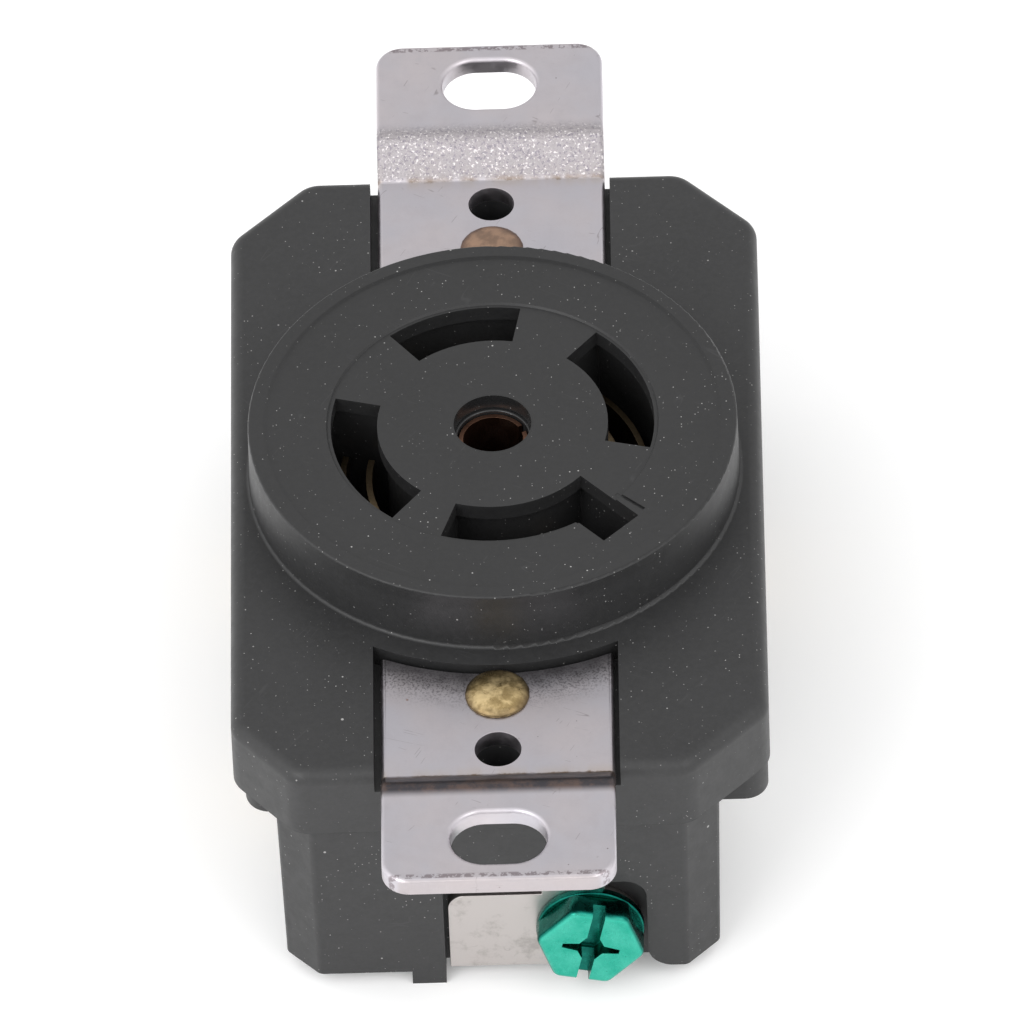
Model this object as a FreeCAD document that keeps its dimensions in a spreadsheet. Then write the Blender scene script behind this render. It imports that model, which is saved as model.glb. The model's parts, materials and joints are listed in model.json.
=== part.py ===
import FreeCAD, Part
import math
import os

import Sketcher
from FreeCAD import Rotation, Vector

# A flush four-pole, five-wire twist-locking receptacle with two riveted mounting ears.
# Frame: +Z out of the face, +Y along the device towards the upper ear, +X across it.
# The origin is midway between the two ear slots, level with the undersides of the ears.
# All sizes are in millimetres and degrees.

SIZES = {
    # mounting ears, bent up from pressed steel strip
    "ear_slot_spacing": 83.3,
    "ear_slot_length": 7.6,
    "ear_slot_width": 5.45,
    "plate_hole_spacing": 60.3,
    "plate_hole_radius": 1.85,
    "strip_width": 18.4,
    "strip_thickness": 1.5,
    "ear_end": 46.2,
    "ear_corner": 2.2,
    "ear_rise": 2.3,
    "bend_foot": 32.9,
    "bend_run": 2.7,
    "bend_outer": 1.9,
    "bend_inner": 0.4,
    "strip_inner_radius": 22.0,
    "strip_edge_round": 0.4,
    # front cover: flange and round boss
    "flange_left": 21.1,
    "flange_right": 21.4,
    "flange_length": 66.0,
    "flange_top": -0.3,
    "flange_thickness": 6.7,
    "flange_upper_right_cut": 6.0,
    "flange_upper_left_cut": 6.2,
    "flange_lower_left_cut_x": 5.0,
    "flange_lower_left_cut_y": 5.7,
    "flange_lower_right_cut": 6.4,
    "flange_corner_round": 2.5,
    "flange_edge_round": 1.2,
    "recess_floor": -2.3,
    "recess_radius": 21.5,
    "recess_left": 9.8,
    "recess_right": 9.6,
    "boss_base_radius": 19.6,
    "boss_top_radius": 19.5,
    "boss_foot_round": 0.3,
    "boss_top": 5.3,
    "boss_edge_round": 0.2,
    "rim_inner_radius": 18.3,
    "step_depth": 0.2,
    "face_disc_radius": 13.25,
    "face_thickness": 1.4,
    "cavity_radius": 17.8,
    # openings in the face
    "slot_inner_radius": 9.2,
    "slot_outer_radius": 12.9,
    "hook_reach": 15.7,
    "hook_low": -3.05,
    "hook_high": 0.8,
    "pin_hole_radius": 3.1,
    "mark_start": 12.7,
    "mark_length": 2.9,
    "mark_width": 0.3,
    "mark_depth": 0.25,
    # contact carrier: slab with side wings and a round turret
    "wing_left": 20.3,
    "wing_right": 21.2,
    "wing_length": 51.8,
    "wing_corner": 1.9,
    "wing_depth": 5.0,
    "sleeve_gap": 0.1,
    "turret_radius": 17.4,
    "turret_top": 3.4,
    "chamber_margin": 0.7,
    "chamber_margin_angle": 2.0,
    # rear cover
    "rear_left": 17.8,
    "rear_right": 17.3,
    "rear_length": 64.8,
    "rear_chamfer": 2.8,
    "rear_back": -24.4,
    "rear_draft": 1.0,
    "rear_corner_round": 0.8,
    "foot_height": 1.4,
    "foot_width": 2.7,
    "end_foot_inner": 28.2,
    "end_foot_outer": 32.1,
    "side_foot_x": 12.0,
    "side_foot_half_length": 2.0,
    "contact_shelf_half_length": 14.0,
    "relief_depth": 5.0,
    "tail_seat_gap": 0.7,
    # play between pieces that lie against each other
    "seat_gap": 0.05,
    "channel_gap": 0.1,
    # side terminals
    "terminal_y": 11.5,
    "terminal_z": -18.3,
    "terminal_face": 15.0,
    "terminal_width": 11.8,
    "terminal_bottom": -23.8,
    "pocket_width": 13.2,
    "clamp_width": 10.4,
    "clamp_height": 9.6,
    "clamp_thickness": 1.2,
    "clamp_corner": 0.8,
    "screw_shank_radius": 2.35,
    "screw_shank_length": 8.0,
    "screw_head_radius": 3.9,
    "screw_head_height": 2.1,
    "screw_head_round": 0.5,
    "screw_tip": 0.6,
    "screw_slot_half_width": 0.5,
    "screw_slot_depth": 1.1,
    "screw_cross_depth": 1.4,
    "screw_clearance": 0.07,
    "shank_bore_radius": 2.8,
    # line contacts
    "metal_thickness": 1.0,
    "leaf_thickness": 0.5,
    "leaf_inner_radius": 9.8,
    "leaf_outer_radius": 12.4,
    "leaf_top": -1.2,
    # ground parts
    "sleeve_radius": 2.75,
    "sleeve_bore": 2.4,
    "sleeve_top": 3.1,
    "sleeve_slit": 0.7,
    "sleeve_slit_depth": 9.0,
    "strap_level": -14.0,
    "strap_half_width": 4.0,
    "strap_inner_end": 4.0,
    "strap_channel_end": 6.0,
    "shoulder_right": 8.0,
    "shoulder_inner": -27.2,
    "tongue_left": 3.0,
    "insulation_outer": -16.0,
    "insulation_inner": -5.0,
    "plate_face": -31.7,
    "plate_top": -16.15,
    "plate_left": -4.5,
    "plate_corner": 1.4,
    "plate_side_gap": 0.35,
    "washer_side_gap": 0.25,
    "pocket_headroom": 1.85,
    "pocket_corner": 1.8,
    "pocket_lip_round": 2.0,
    "ground_bore_gap": 1.2,
    "collar_wall": 1.1,
    "collar_height": 1.2,
    "ground_x": 6.75,
    "ground_z": -19.8,
    "ground_washer_radius": 4.3,
    "ground_washer_thickness": 0.6,
    "ground_washer_round": 0.15,
    "ground_seat_gap": 0.03,
    "ground_hex_flats": 7.7,
    "ground_hex_height": 2.0,
    "ground_hex_corner_round": 0.9,
    "ground_hex_edge_round": 0.5,
    "ground_slot_depth": 1.2,
    "ground_cross_depth": 1.5,
    "ground_shank_length": 7.0,
    # rivets
    "upper_rivet_y": 24.9,
    "lower_rivet_y": 24.3,
    "rivet_radius": 1.6,
    "rivet_head_radius": 2.55,
    "rivet_head_height": 0.85,
    "rivet_tail_radius": 2.5,
    "rivet_tail_level": -22.4,
    "rivet_tail_height": 0.8,
}

# Each curved opening in the face: where it starts and how far it sweeps, the terminal it feeds,
# and its contact's tab, given by how far in it starts and by its lower side along the device.
OPENINGS = {
    "top": {"start": 79.5, "sweep": 49.5, "side": -1, "end": 1, "tab": (6.0, 8.0)},
    "right": {"start": -14.0, "sweep": 63.5, "side": 1, "end": 1, "tab": (6.5, 7.0)},
    "left": {"start": 165.5, "sweep": 66.0, "side": -1, "end": -1, "tab": (6.5, -12.0)},
    "bottom": {"start": -109.0, "sweep": 58.5, "side": 1, "end": -1, "tab": (7.0, -12.0)},
}
TAB_WIDTH = 4.0
HOOK_ANGLE = -46.0  # direction of the hooked opening's straight leg
MARK_ANGLE = -40.6  # direction of the engraved dash
SLIT_ANGLE = 25.0  # direction of the slit across the ground sleeve
SLOT_TURNS = {"upper_left": 62.0, "upper_right": -35.0, "lower_left": 14.0, "lower_right": 80.0}
HEX_TURN = 47.0  # direction of a corner of the ground screw's head
GROUND_SLOT_TURN = -12.0  # how far the ground screw's slot leans from upright
TERMINALS = {
    "upper_left": (-1, 1),
    "upper_right": (1, 1),
    "lower_left": (-1, -1),
    "lower_right": (1, -1),
}
OVERCUT = 1.0  # how far a cutting tool runs past the face it opens
SLOT_REACH = 6.0  # half length of the tool that cuts a screw's slot
DOME = [(1.0, 0.24), (0.85, 0.61), (0.6, 0.85), (0.3, 0.95), (0.0, 1.0)]  # rivet head section

doc = FreeCAD.newDocument("LockingReceptacle")


# ---------------------------------------------------------------- driving dimensions

class Size:
    """A length that carries its spreadsheet formula together with its present value."""

    def __init__(self, formula, value):
        self.formula = formula
        self.value = value

    def combine(self, sign, other):
        other = as_size(other)
        results = {
            "+": lambda a, b: a + b,
            "-": lambda a, b: a - b,
            "*": lambda a, b: a * b,
            "/": lambda a, b: a / b,
        }
        value = results[sign](self.value, other.value)
        return Size(f"({self.formula} {sign} {other.formula})", value)

    def __add__(self, other):
        return self.combine("+", other)

    def __sub__(self, other):
        return self.combine("-", other)

    def __mul__(self, other):
        return self.combine("*", other)

    def __rmul__(self, other):
        return as_size(other).combine("*", self)

    def __truediv__(self, other):
        return self.combine("/", other)

    def __neg__(self):
        return Size(f"(-1 * {self.formula})", -self.value)


def as_size(number):
    return number if isinstance(number, Size) else Size(f"({number})", float(number))


def tangent(angle):
    return Size(f"tan({angle.formula} * 1 deg)", math.tan(math.radians(angle.value)))


def arc_tangent(ratio):
    """Angle in plain degrees whose tangent is the ratio."""
    return Size(f"(atan({ratio.formula}) / 1 deg)", math.degrees(math.atan(ratio.value)))


def make_sheet():
    sheet = doc.addObject("Spreadsheet::Sheet", "Sizes")
    for row, (name, value) in enumerate(SIZES.items(), start=1):
        sheet.set(f"A{row}", name)
        sheet.set(f"B{row}", str(value))
        sheet.setAlias(f"B{row}", name)
    doc.recompute()
    return sheet


make_sheet()


def size(name):
    return Size(f"Sizes.{name}", float(SIZES[name]))


def bind(item, prop, length):
    item.setExpression(prop, as_size(length).formula)


# levels used by several parts
FLANGE_BOTTOM = size("flange_top") - size("flange_thickness")
SLAB_BOTTOM = FLANGE_BOTTOM - size("wing_depth")
FACE_DISC = size("boss_top") - 2 * size("step_depth")
STRIP_TOP = size("strip_thickness") - size("ear_rise")
CONTACT_BOTTOM = SLAB_BOTTOM - size("metal_thickness")
STRAP_BOTTOM = size("strap_level") - size("metal_thickness")


# ---------------------------------------------------------------- solids from primitives

def place(item, x=0, y=0, z=0, rotation=None):
    """Put an item at a point given by formulas, turned first by a fixed rotation."""
    if rotation is not None:
        item.Placement = FreeCAD.Placement(Vector(0, 0, 0), rotation)
    for axis, value in (("x", x), ("y", y), ("z", z)):
        bind(item, f"Placement.Base.{axis}", value)
    return item


def block(name, x, y, z):
    """Rectangular block between a low and a high limit along each axis."""
    item = doc.addObject("Part::Box", name)
    for prop, (low, high) in (("Length", x), ("Width", y), ("Height", z)):
        bind(item, prop, as_size(high) - low)
    return place(item, x[0], y[0], z[0])


def rod(name, radius, z, x=0, y=0, start=0, sweep=360):
    """Upright cylinder, or a wedge of one, between two levels."""
    item = doc.addObject("Part::Cylinder", name)
    bind(item, "Radius", radius)
    bind(item, "Height", as_size(z[1]) - z[0])
    bind(item, "Angle", sweep)
    return place(item, x, y, z[0], Rotation(Vector(0, 0, 1), start))


def cross_rod(name, radius, length, start, rotation):
    """Cylinder that starts at a point and runs along the rotated Z axis."""
    item = doc.addObject("Part::Cylinder", name)
    bind(item, "Radius", radius)
    bind(item, "Height", length)
    return place(item, *start, rotation)


def fuse(name, parts):
    item = doc.addObject("Part::MultiFuse", name)
    item.Shapes = list(parts)
    return item


def cut(name, base, tools):
    item = doc.addObject("Part::Cut", name)
    item.Base = base
    item.Tool = tools[0] if len(tools) == 1 else fuse(f"{name}_tools", tools)
    item.Refine = True
    return item


def ring_sector(name, radii, z, start, sweep):
    """Curved bar between two radii about the face's axis."""
    outer = rod(f"{name}_outer", radii[1], z, start=start, sweep=sweep)
    inner = rod(f"{name}_inner", radii[0], (as_size(z[0]) - OVERCUT, as_size(z[1]) + OVERCUT))
    return cut(name, outer, [inner])


# ---------------------------------------------------------------- bodies from sketches

def new_body(label):
    body = doc.addObject("PartDesign::Body", label)
    body.Label = label
    return body


def new_sketch(body, name, plane, offset=0):
    """Sketch on one of the body's own origin planes, shifted along its normal."""
    sketch = body.newObject("Sketcher::SketchObject", name)
    support = [f for f in body.Origin.OriginFeatures if f.Role == plane][0]
    sketch.AttachmentSupport = [(support, "")]
    sketch.MapMode = "FlatFace"
    bind(sketch, "AttachmentOffset.Base.z", offset)
    return sketch


def hold(sketch, kind, arguments, length):
    length = as_size(length)
    index = sketch.addConstraint(Sketcher.Constraint(kind, *arguments, length.value))
    sketch.setExpression(f"Constraints[{index}]", length.formula)


def hold_point(sketch, geometry, point, x, y):
    """Tie a sketch point to distances from the origin; zero distances lie on an axis."""
    for kind, axis, value in (("DistanceX", -2, as_size(x)), ("DistanceY", -1, as_size(y))):
        if value.value == 0:
            sketch.addConstraint(Sketcher.Constraint("PointOnObject", geometry, point, axis))
        else:
            hold(sketch, kind, (-1, 1, geometry, point), value)


def polygon(sketch, corners):
    """Closed outline with every corner tied to its own formulas."""
    points = [Vector(as_size(x).value, as_size(y).value, 0) for x, y in corners]
    count = len(points)
    first = sketch.GeometryCount
    for i in range(count):
        sketch.addGeometry(Part.LineSegment(points[i], points[(i + 1) % count]), False)
    for i in range(count):
        ends = (first + i, 2, first + (i + 1) % count, 1)
        sketch.addConstraint(Sketcher.Constraint("Coincident", *ends))
    for i, (x, y) in enumerate(corners):
        hold_point(sketch, first + i, 1, x, y)


def circle(sketch, radius, x=0, y=0):
    centre = Vector(as_size(x).value, as_size(y).value, 0)
    index = sketch.addGeometry(Part.Circle(centre, Vector(0, 0, 1), as_size(radius).value), False)
    hold_point(sketch, index, 3, x, y)
    hold(sketch, "Radius", (index,), radius)


def obround(sketch, length, width, y):
    """Slot outline across the sketch, centred on its vertical axis."""
    half = (length - width) / 2
    radius = width / 2
    right = Part.Circle(Vector(half.value, y.value, 0), Vector(0, 0, 1), radius.value)
    left = Part.Circle(Vector(-half.value, y.value, 0), Vector(0, 0, 1), radius.value)
    quarter = math.pi / 2
    first = sketch.addGeometry(Part.ArcOfCircle(right, -quarter, quarter), False)
    second = sketch.addGeometry(Part.ArcOfCircle(left, quarter, 3 * quarter), False)
    low = Vector(0, y.value - radius.value, 0)
    high = Vector(0, y.value + radius.value, 0)
    reach = Vector(half.value, 0, 0)
    top = sketch.addGeometry(Part.LineSegment(high + reach, high - reach), False)
    bottom = sketch.addGeometry(Part.LineSegment(low - reach, low + reach), False)
    for ends in ((first, 2, top, 1), (top, 2, second, 1), (second, 2, bottom, 1), (bottom, 2, first, 1)):
        sketch.addConstraint(Sketcher.Constraint("Tangent", *ends))
    sketch.addConstraint(Sketcher.Constraint("Equal", first, second))
    hold_point(sketch, first, 3, half, y)
    hold_point(sketch, second, 3, -half, y)
    hold(sketch, "Radius", (first,), radius)


def chamfered_rectangle(left, right, length, cuts):
    """Corners of an upright rectangle with cut corners, from upper right round to lower right.

    Each cut is given by its size across and its size along the device.
    """
    y = length / 2
    upper_right, upper_left, lower_left, lower_right = cuts
    return [
        (right, y - upper_right[1]),
        (right - upper_right[0], y),
        (upper_left[0] - left, y),
        (-left, y - upper_left[1]),
        (-left, lower_left[1] - y),
        (lower_left[0] - left, -y),
        (right - lower_right[0], -y),
        (right, lower_right[1] - y),
    ]


def pad(body, name, sketch, length, reverse=False, symmetric=False, draft=None):
    feature = body.newObject("PartDesign::Pad", name)
    feature.Profile = sketch
    feature.Reversed = reverse
    feature.Midplane = symmetric
    bind(feature, "Length", length)
    if draft is not None:
        bind(feature, "TaperAngle", -draft)
    sketch.Visibility = False
    return feature


def pocket_through(body, name, sketch):
    """Pocket that goes right through the body, both ways from its sketch."""
    feature = body.newObject("PartDesign::Pocket", name)
    feature.Profile = sketch
    feature.Type = "ThroughAll"
    feature.Midplane = True
    return feature


def pocket(body, name, sketch, depth):
    """Pocket that sinks from its sketch towards the sketch plane's back."""
    feature = body.newObject("PartDesign::Pocket", name)
    feature.Profile = sketch
    bind(feature, "Length", depth)
    return feature


def revolve(body, name, sketch):
    """Full turn of a profile drawn right of the sketch's vertical axis."""
    feature = body.newObject("PartDesign::Revolution", name)
    feature.Profile = sketch
    feature.ReferenceAxis = (sketch, ["V_Axis"])
    feature.Angle = 360
    return feature


def edges_where(feature, test):
    """Names of a feature's edges whose middle point passes the test."""
    doc.recompute()
    names = []
    for number, edge in enumerate(feature.Shape.Edges, start=1):
        middle = edge.valueAt((edge.FirstParameter + edge.LastParameter) / 2)
        if test(middle, edge):
            names.append(f"Edge{number}")
    return names


def round_edges(body, name, base, radius, test):
    feature = body.newObject("PartDesign::Fillet", name)
    feature.Base = (base, edges_where(base, test))
    bind(feature, "Radius", radius)
    doc.recompute()
    return feature


def near(first, second, slack=0.02):
    return abs(first - second) < slack


def rivet_distance(end):
    """How far the rivet at the upper end (1) or the lower end (-1) is from the centre."""
    return size("upper_rivet_y") if end > 0 else size("lower_rivet_y")


# ---------------------------------------------------------------- mounting ears

def ear(label, end):
    """Pressed ear: flat in its recess, bent up past the flange, with a slotted free end."""
    body = new_body(label)
    thickness = size("strip_thickness")
    bend_angle = arc_tangent(size("ear_rise") / size("bend_run"))
    bend_shift = thickness * tangent(bend_angle / 2)
    foot = size("bend_foot")
    knee = foot + size("bend_run")
    inner = size("strip_inner_radius") - 3 * OVERCUT
    strip_bottom = STRIP_TOP - thickness
    profile = [
        (inner, STRIP_TOP),
        (foot, STRIP_TOP),
        (knee, thickness),
        (size("ear_end"), thickness),
        (size("ear_end"), 0),
        (knee + bend_shift, 0),
        (foot + bend_shift, strip_bottom),
        (inner, strip_bottom),
    ]
    side = new_sketch(body, f"{label}_profile", "YZ_Plane")
    polygon(side, profile)
    strip = pad(body, f"{label}_strip", side, size("strip_width"), symmetric=True)

    def bend_line(y, z):
        return lambda middle, edge: near(middle.y, y.value) and near(middle.z, z.value)

    tight = size("bend_inner")
    wide = size("bend_outer")
    bends = (
        ("foot_top", tight, foot, STRIP_TOP),
        ("foot_under", wide, foot + bend_shift, strip_bottom),
        ("knee_top", wide, knee, thickness),
        ("knee_under", tight, knee + bend_shift, as_size(0)),
    )
    for name, radius, y, z in bends:
        strip = round_edges(body, f"{label}_{name}", strip, radius, bend_line(y, z))

    holes = new_sketch(body, f"{label}_holes", "XY_Plane")
    obround(holes, size("ear_slot_length"), size("ear_slot_width"), size("ear_slot_spacing") / 2)
    circle(holes, size("plate_hole_radius"), y=size("plate_hole_spacing") / 2)
    circle(holes, size("rivet_radius"), y=rivet_distance(end))
    circle(holes, size("strip_inner_radius"))
    strip = pocket_through(body, f"{label}_pierced", holes)

    half_width = SIZES["strip_width"] / 2
    strip_end = SIZES["ear_end"]
    strip = round_edges(
        body, f"{label}_corners", strip, size("ear_corner"),
        lambda middle, edge: near(abs(middle.x), half_width) and near(middle.y, strip_end))

    top_levels = (SIZES["strip_thickness"], STRIP_TOP.value)

    def outline_top(middle, edge):
        outside = near(abs(middle.x), half_width) or middle.y > SIZES["ear_end"] - SIZES["ear_corner"]
        return outside and min(abs(middle.z - level) for level in top_levels) < 0.01

    strip = round_edges(body, f"{label}_edge", strip, size("strip_edge_round"), outline_top)
    body.Tip = strip
    if end < 0:
        body.Placement = FreeCAD.Placement(Vector(0, 0, 0), Rotation(Vector(0, 0, 1), 180))
    return body


# ---------------------------------------------------------------- front cover

def front_blank():
    """Flange with rounded edges and the drafted boss on top, before anything is cut."""
    body = new_body("front_blank")
    outline = new_sketch(body, "flange_outline", "XY_Plane", size("flange_top"))
    upper_right = size("flange_upper_right_cut")
    upper_left = size("flange_upper_left_cut")
    lower_right = size("flange_lower_right_cut")
    cuts = [
        (upper_right, upper_right),
        (upper_left, upper_left),
        (size("flange_lower_left_cut_x"), size("flange_lower_left_cut_y")),
        (lower_right, lower_right),
    ]
    polygon(outline, chamfered_rectangle(
        size("flange_left"), size("flange_right"), size("flange_length"), cuts))
    flange = pad(body, "flange", outline, size("flange_thickness"), reverse=True)
    top = SIZES["flange_top"]
    flange = round_edges(
        body, "flange_corners", flange, size("flange_corner_round"),
        lambda middle, edge: middle.z < top - 1 and middle.z > FLANGE_BOTTOM.value + 1)
    flange = round_edges(
        body, "flange_edge", flange, size("flange_edge_round"),
        lambda middle, edge: near(middle.z, top))

    profile = new_sketch(body, "boss_profile", "XZ_Plane")
    foot = size("flange_top") - size("flange_edge_round")
    rim_floor = size("boss_top") - size("step_depth")
    polygon(profile, [
        (0, foot),
        (size("boss_base_radius"), foot),
        (size("boss_base_radius"), size("flange_top")),
        (size("boss_top_radius"), size("boss_top")),
        (size("rim_inner_radius"), size("boss_top")),
        (size("rim_inner_radius") - size("step_depth"), rim_floor),
        (size("face_disc_radius"), rim_floor),
        (size("face_disc_radius") - size("step_depth") / 2, FACE_DISC),
        (0, FACE_DISC),
    ])
    boss = revolve(body, "boss", profile)

    def circle_at(radius, level):
        return lambda middle, edge: (near(middle.z, level)
                                     and near(math.hypot(middle.x, middle.y), radius))

    boss = round_edges(body, "boss_edge", boss, size("boss_edge_round"),
                       circle_at(SIZES["boss_top_radius"], SIZES["boss_top"]))
    body.Tip = round_edges(body, "boss_foot", boss, size("boss_foot_round"),
                           circle_at(SIZES["boss_base_radius"], SIZES["flange_top"]))
    return body


def ear_recess(name, end):
    """Shallow trough for one ear, ending in an arc round the boss."""
    x = (-size("recess_left"), size("recess_right"))
    reach = size("flange_length") / 2 + OVERCUT
    y = (as_size(0), reach) if end > 0 else (-reach, as_size(0))
    trough = block(f"{name}_trough", x, y, (size("recess_floor"), size("boss_top")))
    core = rod(f"{name}_core", size("recess_radius"), (size("recess_floor") - 1, size("boss_top") + 1))
    return cut(name, trough, [core])


def face_opening(name, spec, grow=0, grow_angle=0, levels=None):
    radii = (size("slot_inner_radius") - grow, size("slot_outer_radius") + grow)
    start = spec["start"] - grow_angle
    return ring_sector(name, radii, levels, start, spec["sweep"] + 2 * grow_angle)


def hook_opening(name, grow, levels):
    """Straight leg that leads outward from one end of the hooked opening."""
    low = size("hook_low") - grow
    high = size("hook_high") + grow
    leg = doc.addObject("Part::Box", f"{name}_leg")
    bind(leg, "Length", size("hook_reach") + grow)
    bind(leg, "Width", high - low)
    bind(leg, "Height", as_size(levels[1]) - levels[0])
    turn = math.radians(HOOK_ANGLE)
    place(leg, -math.sin(turn) * low, math.cos(turn) * low, levels[0],
          Rotation(Vector(0, 0, 1), HOOK_ANGLE))
    hub = rod(f"{name}_hub", size("slot_inner_radius") - grow,
              (as_size(levels[0]) - OVERCUT, as_size(levels[1]) + OVERCUT))
    return cut(name, leg, [hub])


def index_mark():
    """Short engraved dash beside the hooked opening."""
    mark = doc.addObject("Part::Box", "index_mark")
    bind(mark, "Length", size("mark_length"))
    bind(mark, "Width", size("mark_width"))
    bind(mark, "Height", size("mark_depth") + OVERCUT)
    turn = math.radians(MARK_ANGLE)
    level = FACE_DISC + size("step_depth") - size("mark_depth")
    return place(mark, size("mark_start") * math.cos(turn), size("mark_start") * math.sin(turn),
                 level, Rotation(Vector(0, 0, 1), MARK_ANGLE))


def front_cover():
    cavity_top = FACE_DISC - size("face_thickness")
    through = (cavity_top - OVERCUT, size("boss_top") + OVERCUT)
    below = FLANGE_BOTTOM - OVERCUT
    tools = [
        rod("boss_cavity", size("cavity_radius"), (below, cavity_top)),
        rod("pin_hole", size("pin_hole_radius"), through),
        hook_opening("hook_slot", 0, through),
        index_mark(),
    ]
    for name, spec in OPENINGS.items():
        tools.append(face_opening(f"{name}_slot", spec, levels=through))
    for word, end in (("upper", 1), ("lower", -1)):
        tools.append(ear_recess(f"{word}_recess", end))
        levels = (below, size("boss_top"))
        y = end * rivet_distance(end)
        tools.append(rod(f"{word}_rivet_hole", size("rivet_radius"), levels, y=y))
        y = end * size("plate_hole_spacing") / 2
        tools.append(rod(f"{word}_relief", size("plate_hole_radius"), levels, y=y))
    item = cut("front_cover", front_blank(), tools)
    item.Label = "front_cover"
    return item


# ---------------------------------------------------------------- contact carrier

def rivet_notch(word, end, reach, levels):
    """Round-bottomed notch in the slab's end edge for a rivet."""
    half = size("rivet_radius")
    axis = end * rivet_distance(end)
    y = (axis, reach) if end > 0 else (-reach, axis)
    return [rod(f"{word}_notch_bottom", half, levels, y=axis),
            block(f"{word}_notch", (-half, half), y, levels)]


def contact_carrier():
    slab = new_body("carrier_slab")
    outline = new_sketch(slab, "slab_outline", "XY_Plane", FLANGE_BOTTOM)
    left = size("wing_left")
    right = size("wing_right")
    y = size("wing_length") / 2
    polygon(outline, [(right, y), (-left, y), (-left, -y), (right, -y)])
    plate = pad(slab, "slab_plate", outline, size("wing_depth"), reverse=True)
    slab.Tip = round_edges(
        slab, "slab_corners", plate, size("wing_corner"),
        lambda middle, edge: near(middle.z, FLANGE_BOTTOM.value - SIZES["wing_depth"] / 2))
    turret_levels = (FLANGE_BOTTOM - OVERCUT, size("turret_top"))
    solid = fuse("carrier_solid", [slab, rod("turret", size("turret_radius"), turret_levels)])
    levels = (SLAB_BOTTOM - OVERCUT, size("turret_top") + OVERCUT)
    margin = size("chamber_margin")
    tools = [
        rod("sleeve_bore", size("sleeve_radius") + size("sleeve_gap"), levels),
        hook_opening("hook_chamber", margin, levels),
    ]
    for name, spec in OPENINGS.items():
        chamber = face_opening(
            f"{name}_chamber", spec, margin, SIZES["chamber_margin_angle"], levels)
        tools.append(chamber)
    for word, end in (("upper", 1), ("lower", -1)):
        tools += rivet_notch(word, end, y + OVERCUT, levels)
    item = cut("contact_carrier", solid, tools)
    item.Label = "contact_carrier"
    return item


# ---------------------------------------------------------------- rear cover

def rear_blank():
    body = new_body("rear_blank")
    outline = new_sketch(body, "rear_outline", "XY_Plane", FLANGE_BOTTOM)
    cut_size = size("rear_chamfer")
    polygon(outline, chamfered_rectangle(
        size("rear_left"), size("rear_right"), size("rear_length"), [(cut_size, cut_size)] * 4))
    shell = pad(body, "rear_shell", outline, FLANGE_BOTTOM - size("rear_back"),
                reverse=True, draft=size("rear_draft"))
    body.Tip = round_edges(
        body, "rear_corners", shell, size("rear_corner_round"),
        lambda middle, edge: size("rear_back").value + 1 < middle.z < FLANGE_BOTTOM.value - 1)
    return body


def outward(side):
    """Rotation that turns local +Z to the part's +X or -X."""
    return Rotation(Vector(0, 1, 0), 90 * side)


def side_pocket(name, side, end):
    """Terminal pocket open to the side and to the back, with a bore for the screw's shank."""
    wall = size("terminal_face") - size("metal_thickness")
    limit = size("rear_left") + OVERCUT
    x = (wall, limit) if side > 0 else (-limit, -wall)
    middle = end * size("terminal_y")
    half = size("pocket_width") / 2
    levels = (size("rear_back") - OVERCUT, SLAB_BOTTOM)
    opening = block(f"{name}_pocket", x, (middle - half, middle + half), levels)
    start = (side * (wall - size("screw_shank_length")), middle, size("terminal_z"))
    bore = cross_rod(f"{name}_bore", size("shank_bore_radius"),
                     size("screw_shank_length") + OVERCUT, start, outward(side))
    return [opening, bore]


def round_block(name, base, radius, x, z):
    """Round the one edge of a block that runs along Y at the given x and z."""
    rounded = doc.addObject("Part::Fillet", name)
    rounded.Base = base
    edges = edges_where(base, lambda middle, edge: near(middle.x, as_size(x).value)
                        and near(middle.z, as_size(z).value))
    rounded.Edges = [(int(edge[4:]), radius, radius) for edge in edges]
    return rounded


def ground_pocket():
    """Pocket in the lower end wall for the ground plate, open to the end and to the back."""
    right = size("ground_x") + size("ground_washer_radius") + size("washer_side_gap")
    left = size("plate_left") - size("plate_side_gap")
    inner = size("plate_face") + size("metal_thickness")
    outer = -(size("rear_length") / 2) - OVERCUT
    top = size("plate_top") + size("pocket_headroom")
    bottom = size("rear_back") - OVERCUT
    opening = block("plate_pocket", (left, right), (outer, inner), (bottom, top))
    rounded = round_block("plate_pocket_rounded", opening, SIZES["pocket_corner"], right, top)
    lip = size("pocket_lip_round")
    back = size("rear_back")
    wedge = block("pocket_lip_wedge", (right - OVERCUT, right + lip), (outer, inner),
                  (bottom, back + lip))
    keep = cross_rod("pocket_lip_keep", lip, inner - outer + 2 * OVERCUT,
                     (right + lip, outer - OVERCUT, back + lip), Rotation(Vector(1, 0, 0), -90))
    eased = cut("pocket_lip", wedge, [keep])
    into_body = Rotation(Vector(1, 0, 0), -90)
    start = (size("ground_x"), inner - OVERCUT, size("ground_z"))
    shank = cross_rod("ground_bore", size("screw_shank_radius") + size("ground_bore_gap"),
                      size("ground_shank_length") + OVERCUT, start, into_body)
    return [rounded, eased, shank]


def feet():
    """Four low pads moulded on the back."""
    level = (size("rear_back") - size("foot_height"), size("rear_back") + OVERCUT)
    inner = size("end_foot_inner")
    outer = size("end_foot_outer")
    left = size("plate_left") - size("plate_side_gap")
    width = size("foot_width")
    side = size("side_foot_x")
    half = size("side_foot_half_length")
    return [
        block("lower_foot", (left - width, left), (-outer, -inner), level),
        block("upper_foot", (-left, width - left), (inner, outer), level),
        block("left_foot", (-side, width - side), (-half, half), level),
        block("right_foot", (side - width, side), (-half, half), level),
    ]


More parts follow.
